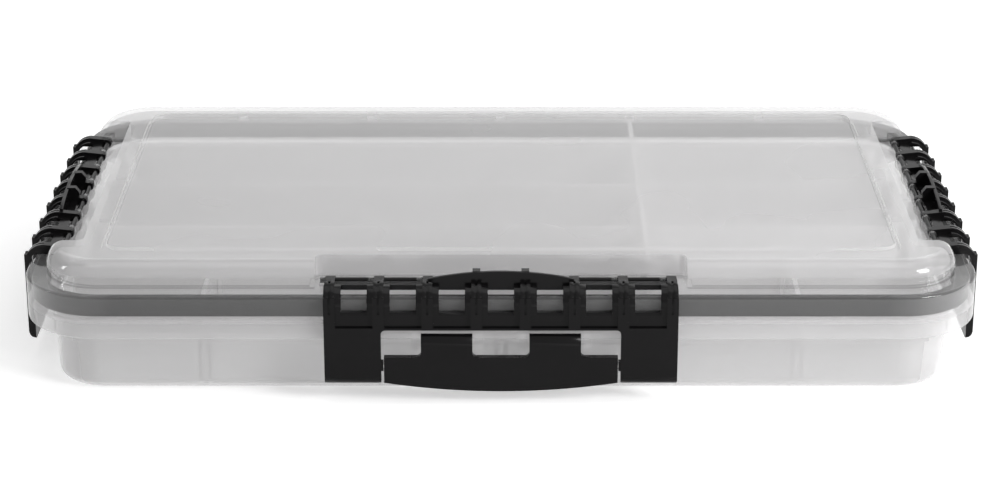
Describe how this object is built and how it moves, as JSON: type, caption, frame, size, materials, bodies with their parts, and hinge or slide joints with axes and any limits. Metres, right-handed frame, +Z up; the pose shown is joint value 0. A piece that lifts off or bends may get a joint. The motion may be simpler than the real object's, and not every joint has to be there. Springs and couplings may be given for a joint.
{
  "type": "tackle box",
  "caption": "Flat clear tackle box with a hinged lid, a gasket, divided rows and black cam latches on the front and both ends.",
  "frame": {"origin": "centre of the box's footprint, on the table", "axes": "+X to the right along the long side, the front latch faces -Y, +Z up"},
  "size_m": [0.356, 0.2203, 0.0505],
  "materials": {
    "tray_plastic": "milky clear moulded polypropylene",
    "lid_plastic": "milky clear moulded polypropylene, glossy edges",
    "divider_plastic": "thin milky clear plastic",
    "seal": "soft dark rubber",
    "latch_plastic": "black moulded plastic, satin",
    "steel": "plain steel wire"
  },
  "bodies": {
    "tray": {"tray": "tray_plastic", "hinge_pin_left": "steel", "hinge_pin_right": "steel"},
    "lid": {"lid": "lid_plastic", "gasket": "seal", "front_latch_rod": "latch_plastic", "left_latch_rod": "latch_plastic", "right_latch_rod": "latch_plastic"},
    "front_latch": {"front_latch_frame": "latch_plastic", "front_paddle_pins": "steel"},
    "front_paddle": {"front_paddle": "latch_plastic"},
    "left_latch": {"left_latch_frame": "latch_plastic", "left_paddle_pins": "steel"},
    "left_paddle": {"left_paddle": "latch_plastic"},
    "right_latch": {"right_latch_frame": "latch_plastic", "right_paddle_pins": "steel"},
    "right_paddle": {"right_paddle": "latch_plastic"},
    "divider_1": {"divider_1": "divider_plastic"},
    "divider_2": {"divider_2": "divider_plastic"},
    "divider_3": {"divider_3": "divider_plastic"},
    "divider_4": {"divider_4": "divider_plastic"},
    "divider_5": {"divider_5": "divider_plastic"},
    "divider_6": {"divider_6": "divider_plastic"}
  },
  "joints": [
    {"name": "lid_hinge", "type": "hinge", "parent": "tray", "child": "lid", "pos_m": [0, 0.10725, 0.0312], "axis": [-1, 0, 0], "range_deg": [0, 180]},
    {"name": "front_latch_hinge", "type": "hinge", "parent": "lid", "child": "front_latch", "pos_m": [0, -0.09575, 0.04295], "axis": [-1, 0, 0], "range_deg": [0, 90]},
    {"name": "front_paddle_hinge", "type": "hinge", "parent": "front_latch", "child": "front_paddle", "pos_m": [0, -0.10883, 0.0149], "axis": [-1, 0, 0], "range_deg": [0, 50]},
    {"name": "left_latch_hinge", "type": "hinge", "parent": "lid", "child": "left_latch", "pos_m": [-0.1636, -0.00275, 0.04295], "axis": [0, 1, 0], "range_deg": [0, 90]},
    {"name": "left_paddle_hinge", "type": "hinge", "parent": "left_latch", "child": "left_paddle", "pos_m": [-0.17667, -0.00275, 0.0149], "axis": [0, 1, 0], "range_deg": [0, 50]},
    {"name": "right_latch_hinge", "type": "hinge", "parent": "lid", "child": "right_latch", "pos_m": [0.1636, -0.00275, 0.04295], "axis": [0, -1, 0], "range_deg": [0, 90]},
    {"name": "right_paddle_hinge", "type": "hinge", "parent": "right_latch", "child": "right_paddle", "pos_m": [0.17667, -0.00275, 0.0149], "axis": [0, -1, 0], "range_deg": [0, 50]},
    {"name": "divider_1_lift", "type": "slide", "parent": "tray", "child": "divider_1", "axis": [0, 0, 1], "range_m": [0, 0.008]},
    {"name": "divider_2_lift", "type": "slide", "parent": "tray", "child": "divider_2", "axis": [0, 0, 1], "range_m": [0, 0.008]},
    {"name": "divider_3_lift", "type": "slide", "parent": "tray", "child": "divider_3", "axis": [0, 0, 1], "range_m": [0, 0.008]},
    {"name": "divider_4_lift", "type": "slide", "parent": "tray", "child": "divider_4", "axis": [0, 0, 1], "range_m": [0, 0.008]},
    {"name": "divider_5_lift", "type": "slide", "parent": "tray", "child": "divider_5", "axis": [0, 0, 1], "range_m": [0, 0.008]},
    {"name": "divider_6_lift", "type": "slide", "parent": "tray", "child": "divider_6", "axis": [0, 0, 1], "range_m": [0, 0.008]}
  ]
}
